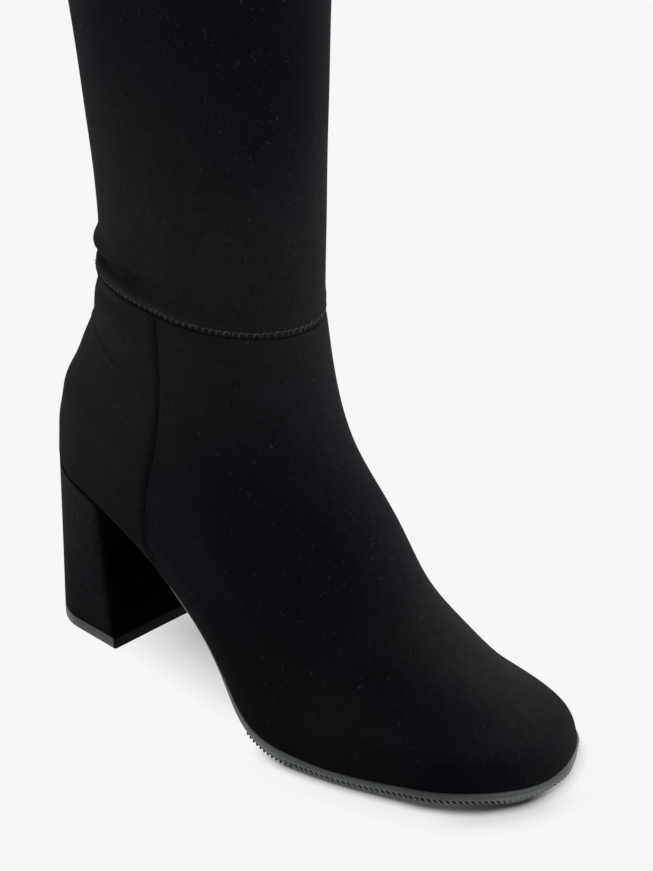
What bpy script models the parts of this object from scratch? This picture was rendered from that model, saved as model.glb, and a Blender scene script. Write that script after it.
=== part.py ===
"""Tall boot on a covered block heel, right foot, empty and standing on its sole.

Frame, in metres: +X to the toe, +Y to the boot's left (the inner side of a
right boot), +Z up.  The floor is z = 0 and the origin is the centre of the
heel's ground face.  The tables are in millimetres, with x counted from a
point 15 mm behind that centre.
"""

import bpy
import bmesh
import numpy as np

MM = 0.001
HEEL_CENTRE_X = 15.0   # x of the heel's ground-face centre in the tables

# ---------------------------------------------------------------- sizes
GAP = 0.3              # clearance between pieces that meet
WALL = 1.8             # upper: microfibre bonded to its lining
SHAFT_WALL = 1.6       # shaft: stretch microfibre and lining
WELT = 1.1             # how far the outsole stands proud of the upper
SOLE_FRONT = 3.6       # outsole thickness under the ball and toe
SOLE_WAIST = 1.8       # outsole thickness along the arch
INSOLE = 2.5           # insole board with its sock
LIFT = 6.0             # height of the rubber top piece under the heel

# A row per ring of the boot, from the feather line (where upper meets sole)
# to the top edge.  back/front: the ring's ends on the boot's midline.
# follow: how much of the sole's curve and swing the ring keeps.  y: shift to
# the left.  back_r, front_r: length over which each end rounds off.
# heel, waist, ball, tip: half widths at those four stations.
COLUMNS = ("back_x", "back_z", "front_x", "front_z", "follow", "y",
           "back_r", "front_r", "heel", "waist", "ball", "tip")
RINGS = (
    ("feather", -6.5,  78.0, 237.0,   6.5, 1.00,  0.0, 28.0, 30.5, 32.5, 27.5, 48.0, 37.5),
    ("edge",    -7.0,  80.0, 236.0,  15.0, 1.00,  0.0, 29.5, 39.0, 33.0, 30.0, 46.0, 38.5),
    ("wall",    -7.0,  87.5, 230.0,  20.0, 1.00,  0.0, 31.0, 45.0, 33.0, 31.5, 43.5, 37.5),
    ("toe",     -6.5,  95.0, 214.5,  25.5, 0.95,  0.0, 32.0, 53.0, 33.0, 32.5, 40.0, 36.5),
    ("vamp",    -4.5, 103.0, 196.0,  38.0, 0.85,  0.0, 33.0, 67.5, 33.0, 33.0, 38.0, 36.0),
    ("instep",  -1.5, 111.0, 176.0,  54.5, 0.65, -0.5, 34.5, 79.0, 33.0, 34.0, 37.0, 36.0),
    ("arch",     4.0, 120.0, 159.0,  75.0, 0.45, -0.5, 37.5, 72.5, 33.0, 34.5, 36.5, 36.0),
    ("throat",  10.0, 132.0, 138.0,  96.5, 0.27, -1.0, 42.5, 61.0, 33.0, 35.0, 36.0, 36.5),
    ("ankle",   16.0, 146.0, 123.5, 124.5, 0.12, -0.5, 47.0, 49.0, 34.0, 35.5, 37.0, 37.0),
    ("seam",    17.0, 162.0, 117.5, 150.0, 0.00, -0.5, 48.5, 40.0, 35.0, 35.0, 35.0, 35.0),
    ("shin",    19.0, 182.5, 116.0, 175.5, 0.00,  1.0, 49.5, 41.5, 36.0, 36.0, 36.0, 36.0),
    ("calf",     7.0, 263.0, 113.0, 262.0, 0.00,  5.0, 54.5, 50.0, 42.5, 42.5, 42.5, 42.5),
    ("knee",    -8.0, 360.0, 109.5, 360.0, 0.00,  8.5, 60.0, 59.5, 51.5, 51.5, 51.5, 51.5),
    ("top",    -15.5, 455.0, 105.0, 455.0, 0.00, 12.0, 61.0, 61.5, 54.0, 54.0, 54.0, 54.0),
)
SEAM = 9.0             # ring number of the ankle seam
TOP = 13.0             # ring number of the top edge

# Height of the feather line, and the sideways swing of the sole's midline.
SOLE_HEIGHT = dict(x=(-10, 20, 45, 70, 95, 120, 145, 170, 195, 218, 238),
                   z=(79.2, 66.8, 53.0, 37.8, 22.5, 9.6, 3.8, 3.5, 4.4, 5.5, 6.5))
SWING = dict(x=(-10, 60, 95, 165, 240), y=(0.8, 0.8, -4.0, -2.8, 1.6))

# Heel block: back and breast on the floor, breast under the seat.
HEEL = dict(back=-9.3, breast=40.0, half=31.2, round=26.7, taper=0.20,
            seat_breast=33.6)


# ------------------------------------------------------------ functions
def spline(xs, ys):
    """Natural cubic through the points; ys may hold several columns."""
    xs = np.asarray(xs, float)
    ys = np.asarray(ys, float).reshape(len(xs), -1)
    n = len(xs)
    h = np.diff(xs)
    system, right = np.eye(n), np.zeros_like(ys)
    for i in range(1, n - 1):
        system[i, i - 1:i + 2] = h[i - 1], 2 * (h[i - 1] + h[i]), h[i]
        right[i] = 6 * ((ys[i + 1] - ys[i]) / h[i] - (ys[i] - ys[i - 1]) / h[i - 1])
    bend = np.linalg.solve(system, right)

    def at(x):
        x = np.asarray(x, float)
        i = np.clip(np.searchsorted(xs, x) - 1, 0, n - 2)
        t, w = (x - xs[i])[..., None], h[i][..., None]
        a, b, p, q = ys[i], ys[i + 1], bend[i], bend[i + 1]
        return a + t * ((b - a) / w - w * (2 * p + q) / 6) + t * t * p / 2 + t ** 3 * (q - p) / (6 * w)
    return at


def ease(q):
    q = np.clip(q, 0, 1)
    return q * q * q * (q * (6 * q - 15) + 10)


def rounded(q):
    q = np.clip(q, 0, 1)
    return np.sqrt(q * (2 - q))


ring_row = spline(range(len(RINGS)), [row[1:] for row in RINGS])
_height = spline(SOLE_HEIGHT["x"], SOLE_HEIGHT["z"])
_swing = spline(SWING["x"], SWING["y"])


def sole_z(x):
    return _height(np.clip(x, SOLE_HEIGHT["x"][0], SOLE_HEIGHT["x"][-1]))[..., 0]


def swing_y(x):
    return _swing(np.clip(x, SWING["x"][0], SWING["x"][-1]))[..., 0]


def half_width(x, c):
    """Half width of a ring at x, before its ends round off."""
    heel, waist, ball, tip = (c[name] for name in ("heel", "waist", "ball", "tip"))
    return (heel + (waist - heel) * ease((x - 5) / 85) + (ball - waist) * ease((x - 75) / 85)
            + (tip - ball) * ease((x - 150) / 90))


def boot(v, turn):
    """The boot's outside: ring number v, and turn round it from the back over the left side."""
    c = dict(zip(COLUMNS, np.moveaxis(ring_row(v), -1, 0)))
    s = (1 - np.cos(turn)) / 2
    x = c["back_x"] + s * (c["front_x"] - c["back_x"])
    curve = sole_z(x) - sole_z(c["back_x"]) * (1 - s) - sole_z(c["front_x"]) * s
    z = c["back_z"] + s * (c["front_z"] - c["back_z"]) + c["follow"] * curve
    z = np.where(v <= 0, sole_z(x), z)
    h = half_width(x, c) * rounded((x - c["back_x"]) / c["back_r"]) * rounded((c["front_x"] - x) / c["front_r"])
    y = c["y"] + np.clip(c["follow"], 0, 1) * swing_y(x) + np.sign(np.sin(turn)) * h
    return np.stack([x, y, z], -1)


def turns(count):
    return np.arange(count) * 2 * np.pi / count


def outward(v, turn):
    """The outside's unit normal."""
    low, high = np.clip(v - 0.02, 0.001, TOP), np.clip(v + 0.02, 0.001, TOP)
    up = boot(high, turn) - boot(low, turn)
    along = boot(v, turn + 0.01) - boot(v, turn - 0.01)
    n = np.cross(up, along)
    return n / np.linalg.norm(n, axis=-1, keepdims=True)


def level(ring):
    """Outward normals in plan of a ring that runs back, left side, toe, right side."""
    along = np.roll(ring, -1, 0) - np.roll(ring, 1, 0)
    n = np.stack([-along[:, 1], along[:, 0], np.zeros(len(ring))], -1)
    return n / np.linalg.norm(n, axis=1, keepdims=True)


def tube(v_low, v_high, wall, outer_rows, inner_rows, count, lift=0.0):
    """Rings round a hollow tube: up its outside, then down its inside."""
    turn = turns(count)
    rings = [boot(np.full(count, v), turn) for v in np.linspace(v_low, v_high, outer_rows)]
    for v in np.linspace(v_high, v_low, inner_rows):
        ring = boot(np.full(count, v), turn)
        if v in (v_low, v_high):
            inner = ring - level(ring) * wall
            if v <= 0:
                inner[:, 2] = sole_z(inner[:, 0])
            else:
                back, front = ring[0], ring[count // 2]
                slope = (front[2] - back[2]) / (front[0] - back[0])
                inner[:, 2] = back[2] + (inner[:, 0] - back[0]) * slope
        else:
            inner = ring - outward(np.full(count, v), turn) * wall
        rings.append(inner)
    if lift:
        rings[0] = rings[0] + (0, 0, lift)
        rings[-1] = rings[-1] + (0, 0, lift)
    return rings


def solid(name, rings, material, hollow=False):
    """One closed mesh from rings of equal count; ends capped side to side, or joined if hollow."""
    count = len(rings[0])
    points = np.concatenate(rings)
    faces = []
    for r in range(len(rings) if hollow else len(rings) - 1):
        a, b = r * count, (r + 1) % len(rings) * count
        for i in range(count):
            j = (i + 1) % count
            faces.append((a + i, a + j, b + j, b + i))
    if not hollow:
        for base in (0, (len(rings) - 1) * count):
            for i in range(count // 2):
                quad = (base + i, base + i + 1, base + (count - i - 1) % count, base + (count - i) % count)
                faces.append(tuple(dict.fromkeys(quad)))
    mesh = bpy.data.meshes.new(name)
    mesh.from_pydata([((x - HEEL_CENTRE_X) * MM, y * MM, z * MM) for x, y, z in points.tolist()], [], faces)
    work = bmesh.new()
    work.from_mesh(mesh)
    bmesh.ops.recalc_face_normals(work, faces=work.faces)
    bmesh.ops.triangulate(work, faces=work.faces)
    work.to_mesh(mesh)
    work.free()
    mesh.shade_smooth()
    mesh.set_sharp_from_angle(angle=np.radians(38))
    mesh.materials.append(material)
    thing = bpy.data.objects.new(name, mesh)
    boot_pieces.objects.link(thing)
    return thing


def paint(name, colour, roughness, sheen=0.0):
    material = bpy.data.materials.new(name)
    material.use_nodes = True
    shader = material.node_tree.nodes["Principled BSDF"]
    shader.inputs["Base Color"].default_value = (*colour, 1)
    shader.inputs["Roughness"].default_value = roughness
    shader.inputs["Sheen Weight"].default_value = sheen
    material.diffuse_color = (*colour, 1)
    return material


# ---------------------------------------------------------------- scene
for thing in list(bpy.data.objects):
    bpy.data.objects.remove(thing)
boot_pieces = bpy.data.collections.new("tall_heeled_boot")
bpy.context.scene.collection.children.link(boot_pieces)

microfibre = paint("black microfibre", (0.012, 0.012, 0.013), 0.85, 0.3)
rubber = paint("dark grey rubber", (0.045, 0.046, 0.05), 0.45)
lining = paint("black textile lining", (0.02, 0.02, 0.021), 0.9)

ROUND = 84             # points round the upper and the shaft

# Upper: a hollow foot, open underneath and at the ankle seam.
solid("upper", tube(0.0, SEAM, WALL, 24, 13, ROUND), microfibre, hollow=True)

# Shaft: a hollow stretch tube from the ankle seam to a plain top edge.
solid("shaft", tube(SEAM, TOP, SHAFT_WALL, 11, 6, ROUND, lift=GAP), microfibre, hollow=True)


def feather(count):
    return boot(np.zeros(count), turns(count))


def under(x, drop):
    """Underside of the sole: follows the feather line and lies flat on the floor at the ball."""
    return np.maximum(sole_z(x) - GAP - drop, 0)


# Outsole: from the heel breast to the toe, a little proud of the upper.
line = feather(120)
away = level(line)
keep = line[:, 0] + away[:, 0] * WELT > HEEL["seat_breast"] + 0.9
side = [i for i in range(60) if keep[i] and keep[-i]] + [60]
order = side + [120 - i for i in reversed(side[:-1])]
rings = []
for out, share in ((WELT - 0.3, 0.0), (WELT, 0.15), (WELT, 0.75), (WELT - 0.6, 1.0)):
    ring = (line + away * out)[order]
    ring[0, 0] = ring[-1, 0] = HEEL["seat_breast"] + 0.9
    x = ring[:, 0]
    thick = SOLE_WAIST + (SOLE_FRONT - SOLE_WAIST) * ease((x - 95) / 45)
    top = sole_z(x) - GAP
    ring[:, 2] = top + (under(x, thick) - top) * share
    rings.append(ring)


def strip_solid(name, rings, material):
    """As solid, for rings whose first and last points face each other across a straight end."""
    rolled = []
    for ring in rings:
        middle = (ring[0] + ring[-1]) / 2
        rolled.append(np.concatenate([[middle], ring]))
    return solid(name, rolled, material)


strip_solid("outsole", rings, rubber)


# Heel: a D in plan, flat at the breast, its seat cut to the feather line.
def heel_plan(count):
    """Back centre first, then the left side to the breast; the right side mirrors it."""
    share = 1 - np.cos(np.linspace(0, np.pi / 2, count))
    x = HEEL["back"] + share * (HEEL["breast"] - HEEL["back"])
    half = HEEL["half"] * rounded((x - HEEL["back"]) / HEEL["round"])
    half = half * (1 - HEEL["taper"] * (1 - share))
    return x, half


def seat_plan(count):
    c = dict(zip(COLUMNS, ring_row(np.zeros(count)).T))
    share = 1 - np.cos(np.linspace(0, np.pi / 2, count))
    back = c["back_x"] + 0.2
    x = back + share * (HEEL["seat_breast"] - back)
    half = half_width(x, c) * rounded((x - back) / c["back_r"]) - 0.2 * (share > 0)
    return x, half, swing_y(x)


def closed(x, half, middle, z):
    left = np.stack([x, middle + half, z], -1)
    right = np.stack([x, middle - half, z], -1)
    return np.concatenate([left, right[:0:-1]])


def heel_ring(share, count=26):
    """The heel's outline part of the way from the top piece to the seat."""
    xa, ha = heel_plan(count)
    xb, hb, yb = seat_plan(count)
    low = closed(xa, ha, 0 * xa, 0 * xa + LIFT + GAP)
    high = closed(xb, hb, yb, sole_z(xb) - GAP)
    return low + (high - low) * share


solid("heel", [heel_ring(s) for s in np.linspace(0, 1, 6)], microfibre)

x, half = heel_plan(26)
solid("heel_top_piece", [closed(x, half, 0 * x, 0 * x), closed(x, half, 0 * x, 0 * x + LIFT)], rubber)

# Insole: a board and sock lying inside the upper, on the outsole and the heel seat.
line = feather(ROUND)
line = line - level(line) * (WALL + GAP + 0.6)
low, high = line.copy(), line.copy()
low[:, 2] = sole_z(line[:, 0])
high[:, 2] = low[:, 2] + INSOLE
solid("insole", [low, high], lining)
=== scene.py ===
"""Looks of the tall heeled boot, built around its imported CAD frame.

The upper and the shaft are fine meshes on the CAD part's own ring table, with
the ankle fold, seams and creases raised or sunk from it.  The heel cover, top
piece and outsole get their real edges, and the threads are tubes.  Lengths are
in millimetres, with x from 15 mm behind the centre of the heel's ground face,
until place() turns them into the row frame's metres.
"""

import bpy
import numpy as np
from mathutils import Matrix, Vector


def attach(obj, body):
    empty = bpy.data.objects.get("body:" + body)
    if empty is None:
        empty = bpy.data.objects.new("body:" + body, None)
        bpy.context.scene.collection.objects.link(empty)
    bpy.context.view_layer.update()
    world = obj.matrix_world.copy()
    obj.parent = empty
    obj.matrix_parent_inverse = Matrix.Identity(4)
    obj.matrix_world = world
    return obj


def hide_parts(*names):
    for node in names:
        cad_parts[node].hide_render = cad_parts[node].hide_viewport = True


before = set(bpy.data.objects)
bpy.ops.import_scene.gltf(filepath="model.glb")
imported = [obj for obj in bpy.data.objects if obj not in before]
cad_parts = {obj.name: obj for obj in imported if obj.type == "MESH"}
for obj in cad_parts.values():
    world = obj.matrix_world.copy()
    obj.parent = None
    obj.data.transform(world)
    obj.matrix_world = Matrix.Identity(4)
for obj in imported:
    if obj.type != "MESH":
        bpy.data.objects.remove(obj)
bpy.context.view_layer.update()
chance = np.random.default_rng(11)

MM = 0.001
HEEL_CENTRE_X = 15.0  # x of the heel's ground-face centre in the tables

# ---- sizes
WALL = 1.8  # upper: microfibre bonded to its lining
SHAFT_WALL = 1.6  # shaft: stretch microfibre and lining
WELT = 1.1  # how far the outsole stands proud of the upper
SOLE_FRONT = 3.6  # outsole thickness under the ball and toe
SOLE_WAIST = 1.8  # outsole thickness along the arch
GAP = 0.3  # clearance between pieces that meet
LIFT = 4.7  # height of the rubber top piece under the heel

# A row per ring of the boot, from the feather line (where upper meets sole)
# to the top edge.  back/front: the ring's ends on the boot's midline.
# follow: how much of the sole's curve and swing the ring keeps.  y: shift to
# the left.  back_r, front_r: lengths over which the ends round off.
# heel, waist, ball, tip: half widths at those four stations.
COLUMNS = ("back_x", "back_z", "front_x", "front_z", "follow", "y",
           "back_r", "front_r", "heel", "waist", "ball", "tip")
RINGS = (
    ("feather", -6.5,  78.0, 237.0,   6.5, 1.00,  0.0, 28.0, 30.5, 32.5, 27.5, 48.0, 37.5),
    ("edge",    -7.0,  80.0, 236.0,  15.0, 1.00,  0.0, 29.5, 39.0, 33.0, 30.0, 46.0, 38.5),
    ("wall",    -7.0,  87.5, 230.0,  20.0, 1.00,  0.0, 31.0, 45.0, 33.0, 31.5, 43.5, 37.5),
    ("toe",     -6.5,  95.0, 214.5,  25.5, 0.95,  0.0, 32.0, 53.0, 33.0, 32.5, 40.0, 36.5),
    ("vamp",    -4.5, 103.0, 196.0,  38.0, 0.85,  0.0, 33.0, 67.5, 33.0, 33.0, 38.0, 36.0),
    ("instep",  -1.5, 111.0, 176.0,  54.5, 0.65, -0.5, 34.5, 79.0, 33.0, 34.0, 37.0, 36.0),
    ("arch",     4.0, 120.0, 159.0,  75.0, 0.45, -0.5, 37.5, 72.5, 33.0, 34.5, 36.5, 36.0),
    ("throat",  10.0, 132.0, 138.0,  96.5, 0.27, -1.0, 42.5, 61.0, 33.0, 35.0, 36.0, 36.5),
    ("ankle",   16.0, 146.0, 123.5, 124.5, 0.12, -0.5, 47.0, 49.0, 34.0, 35.5, 37.0, 37.0),
    ("seam",    17.0, 162.0, 117.5, 150.0, 0.00, -0.5, 48.5, 40.0, 35.0, 35.0, 35.0, 35.0),
    ("shin",    19.0, 182.5, 116.0, 175.5, 0.00,  1.0, 49.5, 41.5, 36.0, 36.0, 36.0, 36.0),
    ("calf",     7.0, 263.0, 113.0, 262.0, 0.00,  5.0, 54.5, 50.0, 42.5, 42.5, 42.5, 42.5),
    ("knee",    -8.0, 360.0, 109.5, 360.0, 0.00,  8.5, 60.0, 59.5, 51.5, 51.5, 51.5, 51.5),
    ("top",    -15.5, 455.0, 105.0, 455.0, 0.00, 12.0, 61.0, 61.5, 54.0, 54.0, 54.0, 54.0),
)
SEAM = 9.0  # ring number of the ankle seam
TOP = 13.0  # ring number of the top edge
TOP_SPAN = 95.0  # height between the last two rings

STATIONS = ("heel", "waist", "ball", "tip")
# Where the half width changes from one station's to the next: x at the start, and length.
STATION_STEPS = ((5, 85), (75, 85), (150, 90))

# Height of the feather line, and the sideways swing of the sole's midline.
SOLE_HEIGHT = dict(x=(-10, 20, 45, 70, 95, 120, 145, 170, 195, 218, 238),
                   z=(79.2, 66.8, 53.0, 37.8, 22.5, 9.6, 3.8, 3.5, 4.4, 5.5, 6.5))
SWING = dict(x=(-10, 60, 95, 165, 240), y=(0.8, 0.8, -4.0, -2.8, 1.6))
# How far the upper's bottom edge rises above that line, by degrees of turn
# from the back over the left side: the moulded sole is thicker by the ball.
EDGE_RISE = dict(
    turn=(0, 150, 160, 172, 184, 195, 203, 213, 223, 235, 244, 252, 258, 266, 275, 285, 360),
    rise=(0, 0, 0, -0.5, -1.3, -0.1, 0.9, 1.5, 1.2, 0.6, 0.8, 1.6, 1.2, 0.3, 0, 0, 0))

# Heel block.  On the floor: back, breast, half width, the length over which the
# back rounds off, and how much it narrows to the back.  Under the seat: breast,
# and how far its middle lies to the left.
HEEL = dict(back=-9.6, breast=40.6, half=31.8, round=24.5, taper=0.18,
            seat_breast=34.6, seat_y=0.8)

# Side seam of the upper, the same on both sides: x at each ring number.
SIDE_SEAM = dict(ring=(0, 1.4, 2.5, 4.3, 6.0, 7.8, 9.0),
                 x=(69, 63, 61, 63.5, 71, 76, 74))
SIDE_TURN = 1.70  # turn from the back at which the side seam meets the ankle seam
BACK_SEAM = 20  # degrees from the back within which the back seam lies

# The fold in the shaft just above the ankle seam, by angle from the back in
# degrees: height of its lip above the seam, how far the cloth steps in under
# the lip and over what height, how far the lip itself stands out and droops,
# and how far the cloth bellies out lower down, where the fold has died away.
FOLD = dict(angle=(0, 35, 50, 60, 67, 73, 80, 92, 106, 121, 140, 160, 180),
            height=(9.2, 9.0, 9.0, 9.8, 10.5, 11.2, 11.6, 11.3, 10.8, 9.9, 7.5, 6.0, 6.0),
            depth=(2.0, 2.2, 2.2, 1.85, 1.60, 1.10, 0.45) + (0.0,) * 6,
            step=(1.9, 1.8, 1.5, 0.75, 0.60, 0.50) + (0.45,) * 7,
            roll=(1.9, 2.0, 1.7, 0.75, 0.30, 0.05) + (0.0,) * 7,
            droop=(0.0, 0.0, 0.25, 0.60, 0.80, 0.75, 0.35) + (0.0,) * 6,
            belly=(0.0, 0.0, 0.0, 0.20, 0.75, 1.30, 1.75, 1.70, 1.35, 0.95, 0.45, 0.10, 0.0))
FOLD_FOOT = 3.2  # height above the seam below which the cloth is back out

# Top edge of the heel stiffener, which presses through the upper: side view.
STIFFENER = dict(x=(8, 28, 41, 51, 61, 72), z=(139, 136, 131, 127, 123.2, 118.8))

LAP = 1.3  # how far the shaft's hem laps down over the upper
CHAIN_PITCH = 2.75  # one loop of the cover stitch over that lap
CHAIN_HEIGHT = 2.0
HEM = 20.0  # depth of the turned hem at the top edge


# ---- functions
def spline(xs, ys):
    """Natural cubic through the points; ys may hold several columns."""
    xs = np.asarray(xs, float)
    ys = np.asarray(ys, float).reshape(len(xs), -1)
    n = len(xs)
    h = np.diff(xs)
    system, right = np.eye(n), np.zeros_like(ys)
    for i in range(1, n - 1):
        system[i, i - 1:i + 2] = h[i - 1], 2 * (h[i - 1] + h[i]), h[i]
        right[i] = 6 * ((ys[i + 1] - ys[i]) / h[i] - (ys[i] - ys[i - 1]) / h[i - 1])
    bend = np.linalg.solve(system, right)

    def at(x):
        x = np.asarray(x, float)
        i = np.clip(np.searchsorted(xs, x) - 1, 0, n - 2)
        t, w = (x - xs[i])[..., None], h[i][..., None]
        a, b, p, q = ys[i], ys[i + 1], bend[i], bend[i + 1]
        slope = (b - a) / w - w * (2 * p + q) / 6
        return a + t * slope + t * t * p / 2 + t ** 3 * (q - p) / (6 * w)
    return at


def curve(table, column):
    """One column of a table as a smooth function of its first column, held at its ends."""
    xs = list(table.values())[0]
    inner = spline(xs, table[column])
    return lambda x: inner(np.clip(x, xs[0], xs[-1]))[..., 0]


def ease(q):
    """From 0 at q = 0 to 1 at q = 1, level at both ends."""
    q = np.clip(q, 0, 1)
    return q * q * q * (q * (6 * q - 15) + 10)


def rounded(q):
    """From 0 at q = 0 to 1 at q = 1 along a quarter circle."""
    q = np.clip(q, 0, 1)
    return np.sqrt(q * (2 - q))


def soft(d, width):
    """A soft bump, 1 at d = 0."""
    return np.exp(-(d / width) ** 2)


def unit(vectors):
    return vectors / np.linalg.norm(vectors, axis=-1, keepdims=True)


def path_length(points):
    """Length along a path at each of its points."""
    return np.concatenate([[0], np.cumsum(np.linalg.norm(np.diff(points, axis=0), axis=1))])


def at_lengths(at, length, points):
    """Points of a path at some lengths along it."""
    return np.stack([np.interp(at, length, points[:, k]) for k in range(points.shape[1])], -1)


ring_row = spline(range(len(RINGS)), [row[1:] for row in RINGS])
sole_z = curve(SOLE_HEIGHT, "z")
swing_y = curve(SWING, "y")
seam_x = curve(SIDE_SEAM, "x")
fold_height, fold_depth, fold_step, fold_roll, fold_droop, fold_belly = (
    curve(FOLD, name) for name in ("height", "depth", "step", "roll", "droop", "belly"))
edge_rise = curve(EDGE_RISE, "rise")
stiffener_z = curve(STIFFENER, "z")


def half_width(x, c):
    """Half width of a ring at x, before its ends round off."""
    width = c["heel"]
    for this, following, (start, length) in zip(STATIONS, STATIONS[1:], STATION_STEPS):
        width = width + (c[following] - c[this]) * ease((x - start) / length)
    return width


def boot(v, turn):
    """The boot's outside: ring number v, and turn round it from the back over the left."""
    v, turn = np.broadcast_arrays(np.asarray(v, float), np.asarray(turn, float))
    c = dict(zip(COLUMNS, np.moveaxis(ring_row(v), -1, 0)))
    s = (1 - np.cos(turn)) / 2
    x = c["back_x"] + s * (c["front_x"] - c["back_x"])
    bend = sole_z(x) - sole_z(c["back_x"]) * (1 - s) - sole_z(c["front_x"]) * s
    z = c["back_z"] + s * (c["front_z"] - c["back_z"]) + c["follow"] * bend
    z = np.where(v <= 0, sole_z(x), z)
    z = z + edge_rise(np.degrees(np.mod(turn, 2 * np.pi))) * (1 - ease(v / 1.2))
    h = (half_width(x, c) * rounded((x - c["back_x"]) / c["back_r"])
         * rounded((c["front_x"] - x) / c["front_r"]))
    y = c["y"] + np.clip(c["follow"], 0, 1) * swing_y(x) + np.sign(np.sin(turn)) * h
    return np.stack([x, y, z], -1)


NEAR_TURN = 0.01  # a step of turn over which the outside counts as straight


def outward(v, turn):
    """The outside's unit normal."""
    low, high = np.clip(v - 0.02, 0.001, TOP), np.clip(v + 0.02, 0.001, TOP)
    n = np.cross(boot(high, turn) - boot(low, turn),
                 boot(v, turn + NEAR_TURN) - boot(v, turn - NEAR_TURN))
    return unit(n)


def from_back(turn):
    """Turn away from the back, 0 to pi, on either side."""
    return np.minimum(turn, 2 * np.pi - turn)


def seam_turn(v):
    """Turn from the back at which the side seam crosses ring v."""
    v = np.clip(v, 0, SEAM)
    row = ring_row(v)
    share = (seam_x(v) - row[..., 0]) / (row[..., 2] - row[..., 0])
    return np.arccos(1 - 2 * share)


# ---- surface relief
def waves(p):
    """Barely visible unevenness of cloth over the last."""
    x, y, z = p[..., 0], p[..., 1], p[..., 2]
    return (0.10 * np.sin(x / 9.3 + z / 15.1 + 0.7) * np.sin(z / 11.9 - y / 13.7 + 2.1)
            + 0.12 * np.sin(z / 23.0 + x / 31.0 + y / 27.0 + 4.0))


def fold_relief(away, above):
    """The lip round the back of the ankle, and the cloth that steps in under it and comes back out."""
    under = fold_height(away) - above
    step = fold_step(away)
    ramp_out = (under - step) / (fold_height(away) - step - FOLD_FOOT)
    sink = np.clip(fold_depth(away), 0, None) * ease(under / step) * (1 - ease(ramp_out * 0.92 + 0.04))
    crest = 1.6  # how far over the lip's edge the roll stands out most
    rise = np.clip(fold_roll(away), 0, None) * soft(under + crest, np.where(under < -crest, 3.6, 1.5))
    below = (np.sqrt(np.square(under) + 0.8) + under) / 2
    down = np.clip(below / (fold_height(away) - FOLD_FOOT), 0, 1)
    belly = np.clip(fold_belly(away), 0, None) * down * (2 - down) * ease((above + 0.6) / 5.0)
    return rise - sink + belly


def lip_droop(away, above):
    """How far the lip hangs down, and the cloth under it rides up, to close over the fold."""
    from_lip = above - fold_height(away) + fold_step(away) / 2
    return -np.clip(fold_droop(away), 0, None) * np.tanh(from_lip / 0.25) * soft(from_lip, 1.6)


def pinch(away, above):
    """The ankle seam draws the cloth in, more round the back."""
    back = 1 - ease((away - 60) / 75)
    deepest = -0.6  # height above the seam
    width = np.where(above > deepest, 2.2 + 0.6 * back, 3.0 + 3.0 * back)
    return -(0.30 + 0.55 * back) * soft(above - deepest, width)


def back_seam(v, away, base, depth, width):
    """The groove of the seam down the back."""
    return depth * soft(base[..., 1] - boot(v, 0.0)[..., 1], width) * (away < BACK_SEAM)


def from_ankle(turn, base):
    """Degrees away from the back, and height above the ankle seam."""
    return np.degrees(from_back(turn)), base[..., 2] - boot(SEAM, turn)[..., 2]


def shaft_relief(v, turn, base):
    """How far the shaft's cloth stands out from the plain outside."""
    away, above = from_ankle(turn, base)
    relief = fold_relief(away, above) + pinch(away, above) + waves(base) * ease(above / 30)
    relief -= back_seam(v, away, base, 0.30, 0.7)

    # The turned hem is thicker, with a shallow groove under it.
    below_top = boot(TOP, turn)[..., 2] - base[..., 2]
    hem = ease(HEM + 0.5 - below_top)
    return relief + 0.35 * hem - 0.15 * soft(below_top - HEM - 1.0, 0.8)


def upper_relief(v, turn, base):
    """How far the upper's cloth stands out from the plain outside."""
    away, above = from_ankle(turn, base)
    outer = np.sin(turn) < 0
    x, z = base[..., 0], base[..., 2]
    relief = pinch(away, above) + waves(base) * ease(-above / 12) * ease(v / 0.6)

    # A hollow round the back under the ankle seam, and the swell below it.
    back = 1 - ease((away - 60) / 45)
    relief -= 0.95 * back * soft(above + 6.0, 3.6)
    relief += 0.45 * back * soft(above + 15.0, 5.0)

    # The stiffener's edge: a thin ridge, with the softer cloth sunk above it.
    side = np.where(outer, 1.0, 0.6) * (1 - ease((x - 46) / 26))
    over = (z - stiffener_z(x)) * 0.92
    relief += side * (0.34 * soft(over, 0.8) - 0.05 * soft(over - 3.0, 2.2))

    # Side seams: a closed groove, the panel behind it drawn in, the front one rolled.
    seam = seam_turn(v)
    middle = boot(v, np.where(turn > np.pi, 2 * np.pi - seam, seam))
    ahead = np.linalg.norm(base - middle, axis=-1) * np.sign(from_back(turn) - seam)
    behind = 0.5 - 0.5 * np.tanh(ahead / 0.12)
    relief -= behind * ((0.90 + 0.15 * ease(v / 6)) * soft(ahead, 2.6) + 0.45 * soft(ahead, 0.8))
    relief += (1 - behind) * 0.34 * soft(ahead, 1.7)

    # Back seam, and a faint crease by the little toe.
    relief -= back_seam(v, away, base, 0.40, 0.6)
    crease = (z - (13.0 - 0.34 * (x - 210.0))) * 0.9
    relief += outer * (away > 90) * 0.5 * soft(crease, 1.1) * soft(x - 214.0, 7.0)

    # Along the arch the bottom edge turns under, over the narrower sole.
    relief -= 0.7 * (1 - rounded(v / 0.10)) * (1 - ease((x - 80) / 45)) * ease((x - 30) / 6)

    # The top edge tucks under the shaft's hem.
    return relief - ease((above + LAP + 0.5) / 0.5)


def shaft_at(v, turn, lift=0.0):
    """Point on the shaft's cloth, lifted off it, and the normal there."""
    base, n = boot(v, turn), outward(v, turn)
    droop = lip_droop(*from_ankle(turn, base))
    point = base + n * (shaft_relief(v, turn, base) + lift)[..., None]
    return point + droop[..., None] * (0, 0, 1), n


def upper_at(v, turn, lift=0.0):
    """Point on the upper's cloth, lifted off it, and the normal there."""
    base, n = boot(v, turn), outward(v, turn)
    return base + n * (upper_relief(v, turn, base) + lift)[..., None], n


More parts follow.
